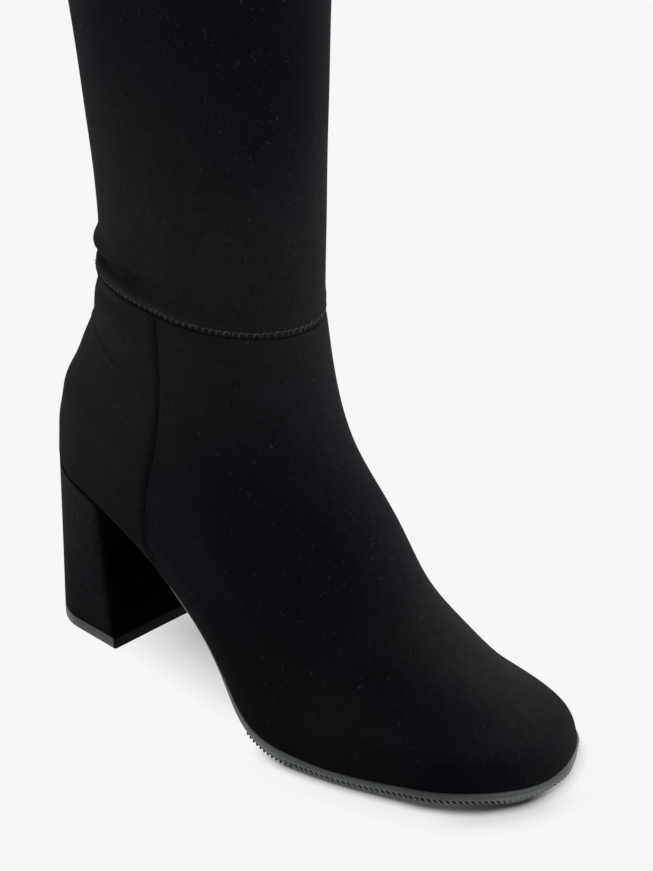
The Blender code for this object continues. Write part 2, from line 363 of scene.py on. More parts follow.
# ---- mesh makers
def place(points):
    """Row frame, in metres."""
    return (np.asarray(points, float) - (HEEL_CENTRE_X, 0, 0)) * MM


def linked(name, data):
    """A new object in the scene."""
    thing = bpy.data.objects.new(name, data)
    bpy.context.scene.collection.objects.link(thing)
    return thing


def make(name, points, faces, materials, kinds=None, replaces=(), sharp=40):
    """A mesh piece of the boot. kinds gives each face's material number."""
    mesh = bpy.data.meshes.new(name)
    faces = faces.tolist() if isinstance(faces, np.ndarray) else faces
    mesh.from_pydata(place(points).tolist(), [], faces)
    for material in materials:
        mesh.materials.append(material)
    if kinds is not None:
        mesh.polygons.foreach_set("material_index", np.asarray(kinds, np.int32))
    mesh.shade_smooth()
    if sharp:  # degrees
        mesh.set_sharp_from_angle(angle=np.radians(sharp))
    mesh.update()
    thing = linked(name, mesh)
    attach(thing, "root")
    if replaces:
        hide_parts(*replaces)


def rings_to_quads(rows, count, join_ends):
    """Quads between rows of points that each run round a loop."""
    r = np.arange(rows if join_ends else rows - 1)[:, None]
    i = np.arange(count)[None, :]
    j = (i + 1) % count
    a, b = r * count, (r + 1) % rows * count
    return np.stack([a + i, a + j, b + j, b + i], -1).reshape(-1, 4)


def end_faces(first, last, count):
    """The faces that close a stack of loops, from their first points' numbers."""
    return [list(range(first, first + count)), list(range(last, last + count))[::-1]]


def column_turns(count):
    """Turns round the boot, closer together at the side and back seams."""
    fine = np.linspace(0, 2 * np.pi, 20001)
    density = 1 + 6 * soft(from_back(fine) - SIDE_TURN, 0.05) + 5 * soft(from_back(fine), 0.03)
    total = np.concatenate([[0], np.cumsum((density[1:] + density[:-1]) / 2)])
    return np.interp(np.arange(count) / count * total[-1], total, fine)


def follow_seam(v, turn):
    """Moves the turns of ring v so that the one at SIDE_TURN lies on the side seam."""
    half = from_back(turn)
    share = np.where(half < SIDE_TURN, ease(half / SIDE_TURN),
                     ease((np.pi - half) / (np.pi - SIDE_TURN)))
    half = half + (seam_turn(v) - SIDE_TURN) * share
    return np.where(turn > np.pi, 2 * np.pi - half, half)


def stretches(*parts):
    """Ring numbers from several even stretches, each (from, to, steps)."""
    return np.concatenate([np.linspace(a, b, n, endpoint=False) for a, b, n in parts]
                          + [[parts[-1][1]]])


def tube(rows, outside):
    """Points and faces of a hollow tube whose rows go up its outside and down its inside, and the
    faces' material numbers: 0 for the first rows, and 1 for the lining."""
    count = len(rows[0])
    kinds = np.repeat(np.arange(len(rows)) >= outside, count).astype(int)
    return np.concatenate(rows), rings_to_quads(len(rows), count, True)[:, ::-1], kinds


def threads(name, paths, radii, material, sides=6, closed=False):
    """Tubes along paths of (points, normals); a path's radius may change along it."""
    points, faces, base = [], [], 0
    angle = np.arange(sides) * 2 * np.pi / sides
    for (p, n), radius in zip(paths, radii):
        radius = np.broadcast_to(radius, len(p))[:, None, None]
        along = unit(np.roll(p, -1, 0) - np.roll(p, 1, 0) if closed else np.gradient(p, axis=0))
        across = unit(np.cross(along, n))
        up = np.cross(across, along)
        ring = (p[:, None] + radius * (np.cos(angle)[None, :, None] * across[:, None]
                                       + np.sin(angle)[None, :, None] * up[:, None]))
        points.append(ring.reshape(-1, 3))
        faces += (rings_to_quads(len(p), sides, closed)[:, ::-1] + base).tolist()
        if not closed:
            faces += end_faces(base, base + (len(p) - 1) * sides, sides)
        base += len(p) * sides
    make(name, np.concatenate(points), faces, [material], sharp=0)


# ---- materials
class Tree:
    """A node tree, with short ways to add nodes to it."""

    def __init__(self, owner):
        owner.use_nodes = True
        self.nodes, self.links = owner.node_tree.nodes, owner.node_tree.links

    def feed(self, node, feeds):
        """Feeds a node's inputs, by name or in order, with nodes' outputs or constants."""
        for key, value in feeds.items() if isinstance(feeds, dict) else enumerate(feeds):
            socket = node.inputs[key]
            if isinstance(value, bpy.types.NodeSocket):
                self.links.new(value, socket)
            else:
                socket.default_value = (*value, 1) if socket.type == "RGBA" else value

    def add(self, kind, output, feeds=(), **settings):
        """Adds a node, and gives one of its outputs."""
        node = self.nodes.new("ShaderNode" + kind)
        for key, value in settings.items():
            setattr(node, key, value)
        self.feed(node, feeds)
        return node.outputs[output]

    def noise(self, where, scale, detail, rough):
        return self.add("TexNoise", "Fac", {"Vector": where, "Scale": scale, "Detail": detail,
                                            "Roughness": rough})

    def ramp(self, value, low, high, start=0.0, end=1.0, interpolation="LINEAR"):
        """Maps a value between low and high to start and end."""
        return self.add("MapRange", "Result", {"Value": value, "From Min": low, "From Max": high,
                                               "To Min": start, "To Max": end},
                        interpolation_type=interpolation)

    def math(self, operation, a, b):
        return self.add("Math", 0, (a, b), operation=operation)

    def times(self, a, b):
        return self.math("MULTIPLY", a, b)

    def distance(self, a, b):
        return self.add("VectorMath", "Value", (a, b), operation="DISTANCE")

    def scaled(self, colour, factor):
        """A colour times a value."""
        return self.add("VectorMath", "Vector", {"Vector": colour, "Scale": factor}, operation="SCALE")

    def mix(self, factor, a, b):
        """A colour between a and b."""
        return self.add("Mix", "Result", {"Factor": factor, "A": a, "B": b}, data_type="RGBA")

    def bump(self, height, distance, strength):
        return self.add("Bump", "Normal", {"Height": height, "Distance": distance,
                                           "Strength": strength})


def new_material(name):
    """A material, its node tree and its Principled BSDF."""
    material = bpy.data.materials.new(name)
    tree = Tree(material)
    return material, tree, tree.nodes["Principled BSDF"]


SHEEN = 0.045
# How light the nap lies: its usual share from DEEP to PALE.  Then places of
# painted light and shade, where the cloth is painted lighter or darker for how
# the light falls there, each as (centre, reach in mm, change in share).
DEEP = (0.0008, 0.0016, 0.0051)
PALE = (0.0216, 0.0205, 0.0236)
NAP = 0.19
PAINTED_LIGHT_PATCHES = (((58, -36, 268), 95, -0.4), ((86, -33, 262), 67, 0.4), ((112, -5, 262), 80, -0.2),
           ((64, -36, 214), 60, 0.25), ((90, -33, 178), 85, 0.2), ((114, -11, 158), 85, 0.25),
           ((60, -35, 125), 65, 0.25), ((28, -33, 100), 70, 0.03), ((88, -37, 72), 70, -0.2),
           ((108, -39, 48), 65, -0.1), ((130, -25, 110), 65, 0.1), ((155, -12, 78), 65, -0.1),
           ((178, 6, 54), 60, 0.31), ((198, 12, 32), 55, 0.4), ((150, -47, 14), 50, 0.15),
           ((180, -46, 8), 45, 0.3), ((208, -33, 22), 58, -0.20), ((236, 6, 18), 55, 0.2),
           ((20, -28, 76), 55, 0.4))
SPECK_SCALE = 760  # cells a metre that may hold a speck of lint
FIBRE_SCALE = 300  # cells a metre whose borders may hold a fibre
FIBRE_WIDTH = 0.026  # half width of a fibre, as a share of a cell


def nap_and_painted_light_share(tree, where):
    """Share of PALE in the cloth's colour: the nap's usual share, with the painted light and shade of
    the patches.
    """
    total = NAP
    for centre, reach, change in PAINTED_LIGHT_PATCHES:
        away = tree.distance(where, tuple(place([centre])[0]))
        total = tree.math("ADD", tree.ramp(away, 0.0, reach * MM, change, 0.0, "SMOOTHERSTEP"), total)
    return total


def microfibre_material(name, gain=1.0, sheen=None, lint=1.0, fluff_colour=(0.085, 0.086, 0.092),
                        speck=0.12, colour=None):
    """Short-napped black microfibre: blotches of nap, fine grain, specks and fibres of lint."""
    material, tree, shader = new_material(name)
    where = tree.add("TexCoord", "Object")
    nap, brushed, grain = (tree.noise(where, scale, detail, 0.6)
                           for scale, detail in ((45, 4), (260, 3), (1500, 3)))
    shade = tree.math("ADD", tree.times(nap, 0.55), tree.times(brushed, 0.45))
    # Painted light and shade: the patches lighten or darken the cloth in places.
    if colour is None:
        colour = tree.mix(nap_and_painted_light_share(tree, where), DEEP, PALE)
    colour = tree.scaled(colour, tree.ramp(shade, 0.36, 0.64, 0.78 * gain, 1.22 * gain))
    colour = tree.scaled(colour, tree.ramp(grain, 0.60, 0.78, 1.0, 2.0))

    middle = tree.add("TexVoronoi", "Distance", {"Vector": where, "Scale": SPECK_SCALE})
    pick = tree.add("SeparateColor", "Red", (middle.node.outputs["Color"],))
    dots = tree.times(tree.math("LESS_THAN", middle, speck),
                     tree.ramp(pick, 0.25, 1.0, 0.0, 0.75 * lint))
    border = tree.add("TexVoronoi", "Distance", {"Vector": where, "Scale": FIBRE_SCALE},
                      feature="DISTANCE_TO_EDGE")
    line = tree.math("LESS_THAN", border, FIBRE_WIDTH)
    here = tree.ramp(tree.noise(where, 420, 1, 0.5), 0.63, 0.73, 0.0, 0.37 * lint)
    fluff = tree.math("MAXIMUM", dots, tree.times(line, here))

    tree.feed(shader, {"Base Color": tree.mix(fluff, colour, fluff_colour),
                       "Roughness": tree.ramp(grain, 0.3, 0.7, 0.82, 1.0),
                       "Specular IOR Level": 0.04 * min(gain, 1.0) ** 2,
                       "Sheen Weight": gain * SHEEN if sheen is None else sheen,
                       "Sheen Roughness": 0.65, "Sheen Tint": (0.97, 0.97, 1.0),
                       "Normal": tree.bump(grain, 0.0002, 0.35)})
    return material


def rubber_material(part, tone, rough=0.45, shine=0.5):
    """Satin moulded rubber for a part of the sole, very slightly mottled about its tone."""
    material, tree, shader = new_material("dark grey rubber" + part)
    where = tree.add("TexCoord", "Object")
    cloud, grain = tree.noise(where, 90, 3, 0.6), tree.noise(where, 2600, 2, 0.6)
    dark, light = (tuple(share * tone for share in tint)
                   for tint in ((0.82, 0.88, 0.91), (1.12, 1.20, 1.24)))
    tree.feed(shader, {"Base Color": tree.mix(tree.ramp(cloud, 0.3, 0.7), dark, light),
                       "Roughness": tree.ramp(cloud, 0.25, 0.75, rough - 0.05, rough + 0.07),
                       "Specular IOR Level": shine, "Normal": tree.bump(grain, 0.00008, 0.5)})
    return material


def lining_material(name):
    """Black tricot lining: fine crosswise ribs."""
    material, tree, shader = new_material(name)
    where = tree.add("TexCoord", "Object")
    weave = tree.add("TexWave", "Fac", {"Vector": where, "Scale": 260, "Distortion": 1.5},
                     bands_direction="Z")
    shade = tree.times(weave, tree.noise(where, 120, 3, 0.6))
    tree.feed(shader, {"Base Color": tree.mix(shade, (0.010, 0.010, 0.011), (0.035, 0.035, 0.038)),
                       "Roughness": 0.9, "Sheen Weight": 0.15, "Normal": tree.bump(weave, 0.0002, 0.4)})
    return material


microfibre = microfibre_material("black microfibre")
# Painted light and shade on the heel's cloth: copies lighter on its side, darker
# by steps over the corner and into the breast, which lies in shade; the lint's
# colour steps with them.
HEEL_PAINTED_LIGHT_GAINS = (1.45, 1.17, 0.88, 0.63, 0.42, 0.27, 0.28)
HEEL_LINT_AND_LIGHT = (0.17, 0.172, 0.18)
heel_painted_light_cloths = [microfibre_material("black microfibre, heel %d" % k, gain, speck=0.145,
                                   fluff_colour=tuple((0.2 + 0.8 * gain) * c for c in HEEL_LINT_AND_LIGHT))
               for k, gain in enumerate(HEEL_PAINTED_LIGHT_GAINS)]
# Painted shade: darker copies of the same cloth down in the ankle fold, and
# copies deep in and beside a side seam.
FOLD_SHADE_GAINS = (0.95, 0.90, 0.85, 0.80, 0.75)
fold_shade_cloths = [microfibre_material("black microfibre, fold %d" % k, gain)
               for k, gain in enumerate(FOLD_SHADE_GAINS)]
# Painted light and shade along the side seams: strips in turns ahead of the seam,
# each with its cloth's gain (darker in the groove and behind it, lighter ahead of
# it), and for the first, in the groove, its sheen and lint.
SEAM_LIGHT_AND_SHADE_STRIPS = ((-0.0042, 0.0042, 0.33, 0.006, 0.3), (-0.045, -0.020, 0.93), (-0.020, -0.0042, 0.84),
               (0.0042, 0.022, 1.16), (0.022, 0.045, 1.07))
seam_light_and_shade_cloths = [microfibre_material("black microfibre, at the seam %d" % k, *look)
               for k, (_, _, *look) in enumerate(SEAM_LIGHT_AND_SHADE_STRIPS)]
thread = microfibre_material("black thread", 1.0, 0.16, 0.0, colour=(0.085, 0.086, 0.091))
# Near-black thread for the hem's stitches, and for the run under the ankle stitch, where its darkness is
# partly painted shade.
dark_thread_and_painted_shade = microfibre_material("dark thread", 1.0, 0.04, 0.0, colour=(0.010, 0.0103, 0.0115))

rubber = rubber_material("", 0.070)
shaded_rubber = rubber_material(", in shade", 0.014, 0.8, 0.15)
# Painted light on the outsole's edge: lighter by steps down it, where the floor
# throws light up, and lighter away from the toe's tip.
BAND_STEP = 1.13
band_painted_light_rubbers = [rubber_material(", band %d" % k, 0.101 * BAND_STEP ** k) for k in range(13)]
# Painted shade in the gaps between the teeth: darker rubber, darkest at the gap's top.
notch_shade_rubbers = [rubber_material(", notch %d" % k, tone, 0.9)
                 for k, tone in enumerate((0.024, 0.052, 0.094))]
# Painted shade: near-black rubber for the teeth that hang alone, whose faces lie in shadow.
peg_shade_rubber = rubber_material(", ground teeth", 0.006, 0.9)
lining = lining_material("black lining")
shared_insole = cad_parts["insole"].data.materials
shared_insole.clear()
shared_insole.append(lining)

# ---- upper
turn = column_turns(408)
outer_v = stretches((0, 0.25, 10), (0.25, 8.0, 128), (8.0, 8.55, 18), (8.55, SEAM, 32))
rows = [upper_at(v, follow_seam(v, turn), lift)[0]
        for v, lift in [(v, 0.0) for v in outer_v] + [(v, -WALL) for v in np.linspace(SEAM, 0, 30)]]
points, faces, kinds = tube(rows, len(outer_v))
outer_rows = np.arange(len(rows)) < len(outer_v) - 1
# Painted light and shade beside the side seams: each strip of faces takes its copy of the cloth.
ahead = from_back((turn + np.roll(turn, -1)) / 2) - SIDE_TURN
for index, (start, end, *_) in enumerate(SEAM_LIGHT_AND_SHADE_STRIPS):
    strip = (ahead > start) & (ahead <= end)
    kinds[(outer_rows[:, None] & strip[None, :]).ravel()] = 2 + index
make("foot_upper", points, faces, [microfibre, lining] + seam_light_and_shade_cloths, kinds, ("upper",))

# ---- shaft
LAP_V = SEAM - 0.062  # ring number of the lapped edge
RIM_V = TOP - 0.003  # ring number at which the top edge starts to round off
turn = column_turns(396)
outer_v = stretches((LAP_V, LAP_V + 0.06, 6), (LAP_V + 0.06, 9.26, 22), (9.26, 9.66, 62),
                    (9.66, 10.1, 22), (10.1, 12.75, 44), (12.75, 12.8, 10), (12.8, TOP, 14))[1:-1]
inner_v = stretches((12.97, 12.8, 6), (12.8, 9.05, 34))
outside = ([(LAP_V, -0.95), (LAP_V, -0.55), (LAP_V, -0.2)] + [(v, 0.0) for v in outer_v]
           + [(RIM_V, -0.1), (TOP, -0.5), (TOP, -1.1), (RIM_V, -1.5)])
rows = [shaft_at(v, turn, lift)[0] for v, lift in outside + [(v, -SHAFT_WALL) for v in inner_v]]
points, faces, kinds = tube(rows, len(outside))

# Painted shade: the cloth in the fold is darker, by steps of darker copies.
face_turn = np.tile((turn + np.append(turn[1:], 2 * np.pi)) / 2, len(rows))
away, above = from_ankle(face_turn, points[faces].mean(1))
under = fold_height(away) - above
shade = (ease(under + 0.3) * (1 - ease((under - 4.0) / 3.5))
         * ease((away - 38) / 12) * (1 - ease((away - 76) / 22)))
level = np.round(len(fold_shade_cloths) * shade).astype(int)
kinds = np.where((kinds == 0) & (level > 0), 1 + level, kinds)
make("shaft_cloth", points, faces, [microfibre, lining] + fold_shade_cloths, kinds, ("shaft",))


# ---- ankle stitch
def ring_walk(v):
    """Length round ring v, and the turn at a length along it."""
    turn = np.linspace(0, 2 * np.pi, 4001)
    length = path_length(boot(v, turn))
    return length[-1], lambda s: np.interp(np.mod(s, length[-1]), length, turn)


round_ankle, ankle_turn = ring_walk(SEAM)
loops = round(round_ankle / CHAIN_PITCH)
pitch = round_ankle / loops


def on_shaft(s, h, lift):
    """Points on the shaft, s along the ankle seam and h above it."""
    turn = ankle_turn(s)
    rise = (boot(SEAM + 0.05, turn)[..., 2] - boot(SEAM - 0.05, turn)[..., 2]) / 0.1
    return shaft_at(SEAM + h / rise, turn, lift)


# One loop, in pitches along the seam and stitch heights: up one leg, along the
# rail, and down the other leg to the foot of the next loop.
LOOP = ((0.02, -0.44), (0.06, 0.00), (0.13, 0.34), (0.28, 0.46), (0.50, 0.48), (0.72, 0.46),
        (0.86, 0.38), (0.93, 0.12), (0.98, -0.16), (1.04, -0.46))
LOOP_RADIUS = (0.05, 0.06, 0.09, 0.12, 0.13, 0.16, 0.27, 0.21, 0.09, 0.06)
LOOP_POINTS = 22
along_loop = np.linspace(0, len(LOOP) - 1, LOOP_POINTS)
loop_line = spline(range(len(LOOP)), LOOP)(along_loop)
loop_radius = np.interp(along_loop, range(len(LOOP)), LOOP_RADIUS)
loop_lift = (0.14 * soft(along_loop - 6.2, 1.6) - 0.06 * ease((along_loop - 7.2) / 1.2)
             - 0.05 * ease((1.6 - along_loop) / 1.2))
paths, radii = [], []
for k in range(loops):
    high, wide, shift, size = chance.normal(0, 1, 4)
    h = loop_line[:, 1] * CHAIN_HEIGHT * (1 + 0.10 * high)
    s = (k + 0.08 * shift + loop_line[:, 0] * (1 + 0.06 * wide)) * pitch
    paths.append(on_shaft(s, h, loop_lift))
    radii.append(loop_radius * (1 + 0.22 * np.clip(size, -1.6, 2.2)))
threads("ankle_cover_stitch", paths, radii, thread)

# The run of thread along the loops' feet; its near-black is partly painted shade, for the shadow under
# the lap's edge.
RUN_STEPS = 6  # points a loop
s = np.arange(loops * RUN_STEPS) * pitch / RUN_STEPS
wavy = -0.47 * CHAIN_HEIGHT - 0.10 * np.cos(2 * np.pi * s / pitch)
threads("ankle_cover_stitch_lower", [on_shaft(s, wavy, 0.02)], [0.12], dark_thread_and_painted_shade, closed=True)

# ---- side seam stitches
reach = np.linspace(-0.55, 0.45, 5)  # how far ahead of the seam a stitch goes
paths = []
for v in np.linspace(0.35, 3.6, 26):
    t = float(seam_turn(np.array(v)))
    turn_per_mm = 2 * NEAR_TURN / np.linalg.norm(boot(v, t + NEAR_TURN) - boot(v, t - NEAR_TURN))
    turns = t + reach * turn_per_mm
    for turns in (turns, 2 * np.pi - turns):
        paths.append(upper_at(v + reach * 0.02, turns, 0.02 + 0.14 * soft(reach, 0.35)))
threads("side_seam_stitching", paths, [0.12] * len(paths), thread, sides=5)

# ---- top hem
HEM_STITCH = 3.2  # length of a stitch and its gap
HEM_STITCH_UP = 2.0  # height of the stitches over the hem's lower edge
round_top, top_turn = ring_walk(TOP - HEM / TOP_SPAN)
stitches = round(round_top / HEM_STITCH)
arc = -0.05 + 0.22 * np.sin(np.linspace(0, np.pi, 6))
paths = []
for k in range(stitches):
    s = (k + np.linspace(0.08, 0.80, 6)) * round_top / stitches
    paths.append(shaft_at(TOP - (HEM - HEM_STITCH_UP) / TOP_SPAN, top_turn(s), arc))
threads("hem_stitching", paths, [0.16] * len(paths), dark_thread_and_painted_shade, sides=5)


# ---- heel
def resample(loop, count):
    """Even points round a closed loop, from its first point."""
    loop = np.concatenate([loop, loop[:1]])
    length = path_length(loop)
    return at_lengths(np.arange(count) / count * length[-1], length, loop)


def soften(loop, radius):
    """Rounds the corners of an even closed loop."""
    step = np.linalg.norm(loop[1] - loop[0])
    reach = int(3 * radius / step)
    weight = soft(np.arange(-reach, reach + 1) * step, radius * 0.9)
    weight /= weight.sum()
    return sum(w * np.roll(loop, k, 0) for k, w in zip(range(-reach, reach + 1), weight))


HEEL_POINTS = 300  # points round the heel
PLAN_POINTS = 60  # points on each side of its plan before they are evened out
plan_share = 1 - np.cos(np.linspace(0, np.pi / 2, PLAN_POINTS))


def heel_plan():
    """The heel on the floor: x and half width from the back to the breast."""
    x = HEEL["back"] + plan_share * (HEEL["breast"] - HEEL["back"])
    half = HEEL["half"] * rounded((x - HEEL["back"]) / HEEL["round"])
    return x, half * (1 - HEEL["taper"] * (1 - plan_share))


def seat_plan():
    """The heel under the upper's seat, just inside the feather line."""
    inside = 0.2
    c = dict(zip(COLUMNS, ring_row(np.zeros(PLAN_POINTS)).T))
    back = c["back_x"] + inside
    x = back + plan_share * (HEEL["seat_breast"] - back)
    return x, half_width(x, c) * rounded((x - back) / c["back_r"]) - inside * (plan_share > 0)


def heel_outline(share, corner, inset):
    """The heel's plan part of the way from the floor to the seat, drawn in towards its middle."""
    x, half = (a + (b - a) * share for a, b in zip(heel_plan(), seat_plan()))
    middle = HEEL["seat_y"] * share
    left, right = np.stack([x, middle + half], -1), np.stack([x, middle - half], -1)
    ring = soften(resample(np.concatenate([left, right[:0:-1]]), HEEL_POINTS), corner)
    return ring + unit(ring.mean(0) - ring) * inset


def stack(rows):
    """Points and faces of a solid of stacked heel outlines, and the faces' middles."""
    faces = rings_to_quads(len(rows), HEEL_POINTS, False)[:, ::-1].tolist()
    faces += end_faces(0, (len(rows) - 1) * HEEL_POINTS, HEEL_POINTS)
    points = np.concatenate(rows)
    return points, faces, np.array([points[face].mean(0) for face in faces])


low_z, rows = LIFT + GAP, []
for share, inset in ([(0.0, 1.2), (0.0, 0.35), (0.003, 0.1)]
                     + [(q, 0.0) for q in np.linspace(0.012, 1, 40)]):
    ring = heel_outline(share, 1.0 + 2.2 * share, inset)
    top = sole_z(np.clip(ring[:, 0], -10, 60)) - GAP * 0.4
    rows.append(np.column_stack([ring, low_z + (top - low_z) * share]))
points, faces, middles = stack(rows)

# Where the heel's painted shade steps darker: distances behind the breast, as
# less than 0, and inward from its sides.
HEEL_SHADE_STEPS = (-5.0, -3.6, -2.3, -1.3, 1.6, 5.0)
CORNER = 1.2  # how far behind the breast its faces end
BREAST_HEIGHT = 45
# Painted shade: the cloth's lowest edge, where it turns under, takes a dark copy.
EDGE_CLOTH = 5  # number of the cloth's edge, turned under
share = (middles[:, 2] - low_z) / BREAST_HEIGHT
from_breast = HEEL["breast"] + (HEEL["seat_breast"] - HEEL["breast"]) * share - middles[:, 0]
inward = HEEL["half"] + 0.5 * share - np.abs(middles[:, 1] - HEEL["seat_y"] * share)
past = np.where(from_breast > CORNER, -from_breast, np.maximum(inward, 0))
kinds = np.searchsorted(HEEL_SHADE_STEPS, past)
kinds = np.where(middles[:, 2] < low_z + 0.55, EDGE_CLOTH, kinds)
make("heel_cover", points, faces, heel_painted_light_cloths, kinds, ("heel",))

rows = []
for z, inset in ((0.0, 0.9), (0.0, 0.35), (0.2, 0.1), (0.5, 0.0), (0.5 * LIFT, -0.05), (LIFT - 0.5, 0.0),
                 (LIFT - 0.15, 0.12), (LIFT, 0.4), (LIFT, 1.2)):
    rows.append(np.column_stack([heel_outline(0.0, 0.9, inset), np.full(HEEL_POINTS, z)]))
points, faces, middles = stack(rows)
make("heel_top_piece_rubber", points, faces, [rubber, shaded_rubber],
     middles[:, 0] > HEEL["breast"] - 1.1, ("heel_top_piece",))


# ---- outsole
SOLE_POINTS = 2161  # points round the outsole's edge
ACROSS = 32  # faces across its underside
TOOTH_STEPS = 10  # a tooth and its gap along the edge, in steps of its points
TOOTH_SLANT = 1.7  # how far a tooth leans along the edge over its height
# Height of the outsole's lower edge over the floor; under it the sole is chamfered.
SOLE_EDGE = dict(x=(30, 60, 90, 105, 115, 126, 136, 147, 159, 172, 185, 200, 214, 225, 233, 238),
                 z=(59.5, 42.2, 23.8, 14.5, 9.3, 4.9, 2.6, 1.25, 0.95, 0.9, 1.1, 2.0, 2.7, 2.7, 1.5,
                    0.5))
EDGE_FROM = 100  # x from which the edge has that height
# How far the outsole is drawn in under the upper.
DRAWN_IN = dict(x=(36, 50, 60, 66, 70, 76, 95, 106, 114, 120, 130, 150, 228, 236),
                by=(3.7, 3.6, 3.2, 2.8, 2.4, 2.0, 1.85, 1.65, 1.2, 0.85, 0.6, 0.3, 0.1, 0.2))
TIP = 226  # x beyond which the toe's edge has no teeth or ribs


def feather_line(count):
    """The feather line from the heel breast round the toe and back: points, the way out from
    each, and the length along it."""
    turn = np.linspace(0, 2 * np.pi, 6001)[:-1]
    line = boot(0, turn)
    along = np.roll(line, -1, 0) - np.roll(line, 1, 0)
    away = unit(np.stack([-along[:, 1], along[:, 0]], -1))
    keep = line[:, 0] + away[:, 0] * WELT > HEEL["seat_breast"] + 0.9
    line, away = line[keep], away[keep]
    length = path_length(line)
    at = np.linspace(0, length[-1], count)
    return at_lengths(at, length, line), at_lengths(at, length, away), at


def sole_thickness(x):
    """Thin at the waist, thicker in front, and a little more under the toe's tip."""
    return SOLE_WAIST + (SOLE_FRONT - SOLE_WAIST) * ease((x - 95) / 45) + 0.85 * ease((x - 222) / 12)


def ground_z(x):
    """Height of the outsole's underside."""
    return np.maximum(sole_z(x) - GAP - sole_thickness(x), 0)


line, away, at = feather_line(SOLE_POINTS)
x, y = line[:, 0], line[:, 1]
top, ground = line[:, 2] - GAP, ground_z(x)
edge = np.where(x < EDGE_FROM, ground, np.maximum(curve(SOLE_EDGE, "z")(x), ground))
drawn_in = np.interp(x, *DRAWN_IN.values())
drawn_in += 1.1 * ease((y - 6) / 14) * ease((x - 225) / 8)
tooth_pitch = TOOTH_STEPS * at[1]
toothed = ease((x - 148) / 8) * (1 - 0.85 * ease((x - TIP) / 8))
# share of the height from the top to the edge, how far out, how much a notch
# cuts in, how far down its slant, and how far on from the edge to the floor
PROFILE = [(share, out, 0.0, 0.0, 0.0) for share, out in (
    (0.00, -2.0), (0.00, 0.35), (0.03, 0.70), (0.10, 0.90), (0.22, 1.00), (0.31, 1.02), (0.34, 0.92),
    (0.37, 1.04), (0.46, 1.08), (0.54, 1.16), (0.58, 1.30))]
PROFILE += [(0.60, 1.36, 0.9, 0.05, 0.0), (0.66, 1.42, 1.3, 0.18, 0.0), (0.80, 1.42, 1.4, 0.52, 0.0),
            (0.93, 1.38, 1.4, 0.84, 0.0), (1.00, 1.25, 1.3, 1.00, 0.0), (1.00, 0.50, 0.6, 1.00, 0.1),
            (1.00, -1.6, 0.0, 1.00, 0.8), (1.00, -3.2, 0.0, 1.00, 1.0)]
TEETH_FROM = 10  # profile row at which the teeth start
TEETH_ROWS = 6  # rows of faces on them
# Painted light: the shares of the height at which the edge's rubber steps lighter.
BAND_LIGHT_SHARES = (0.06, 0.15, 0.26, 0.35, 0.44, 0.52, 0.57)  # shares of the height at which the tone steps
tooth_wave = np.tanh(4.0 * np.cos(2 * np.pi * (at / tooth_pitch + 0.05)) + 0.8)
notched = (0.5 - 0.5 * tooth_wave) * toothed
rows = []
for share, out, cut, slant, on in PROFILE:
    line_row = at_lengths(at - TOOTH_SLANT * slant * toothed, at, line[:, :2])
    z = top + (edge - top) * share
    point = line_row + away * (out - drawn_in - cut * notched)[:, None]
    rows.append(np.column_stack([point, np.maximum(z + (ground - z) * on, 0)]))


def rib_height(x, y, t):
    """Fine wavy cross ribs under the forefoot, inside a plain border; t is -1 and 1 at the sides."""
    inside = ease((0.92 - np.abs(t)) / 0.06) * ease((x - 112) / 8) * ease((TIP - x) / 8)
    groove = 0.5 - 0.5 * np.tanh(2.5 * np.cos(2 * np.pi * (x + 2.0 * np.cos(y / 7.0)) / 5.0) + 1.0)
    return 0.8 * groove * inside


# The edge's faces, with the painted light of its bands and the painted shade in the gaps between its
# teeth.
points, faces, kinds = np.concatenate(rows), [], []
# Painted light: the bands step lighter away from the toe's tip.
lit = np.round(5 * ease((TIP - x[:-1]) / 50)).astype(int)
cut_in = ((notched[:-1] + notched[1:]) / 2 > 0.5) & (toothed[:-1] > 0.3)
for r in range(len(rows) - 1):
    i = r * SOLE_POINTS + np.arange(SOLE_POINTS - 1)
    faces += np.stack([i, i + 1, i + 1 + SOLE_POINTS, i + SOLE_POINTS], -1).tolist()
    tone = np.searchsorted(BAND_LIGHT_SHARES, PROFILE[r][0])
    down = r - TEETH_FROM
    gap = cut_in & (0 <= down < TEETH_ROWS)
    kinds += np.where(gap, len(band_painted_light_rubbers) + min(max(down - 2, 0), 2), tone + lit).tolist()

# The underside, between the last row's two sides, with a fan of triangles at the tip.
half = SOLE_POINTS // 2 + 1  # points on each side, with the tip
left, right = rows[-1][:half], rows[-1][half - 1:][::-1]
cross = np.linspace(-1, 1, ACROSS + 1)
mid = (left[:, None] * (1 - cross[None, :, None]) + right[:, None] * (1 + cross[None, :, None])) / 2
mid[..., 2] = ground_z(mid[..., 0]) + rib_height(mid[..., 0], mid[..., 1], cross[None, :])
mid[:, 0], mid[:, -1] = left, right
base, wide = len(points), ACROSS + 1
points = np.concatenate([points, mid[:-1].reshape(-1, 3)])
tip = (len(rows) - 1) * SOLE_POINTS + half - 1
last = base + (half - 2) * wide
faces += [[last + k + 1, last + k, tip] for k in range(ACROSS)]
corner = base + np.arange(half - 2)[:, None] * wide + np.arange(ACROSS)[None, :]
faces += np.stack([corner, corner + wide, corner + wide + 1, corner + 1], -1).reshape(-1, 4).tolist()

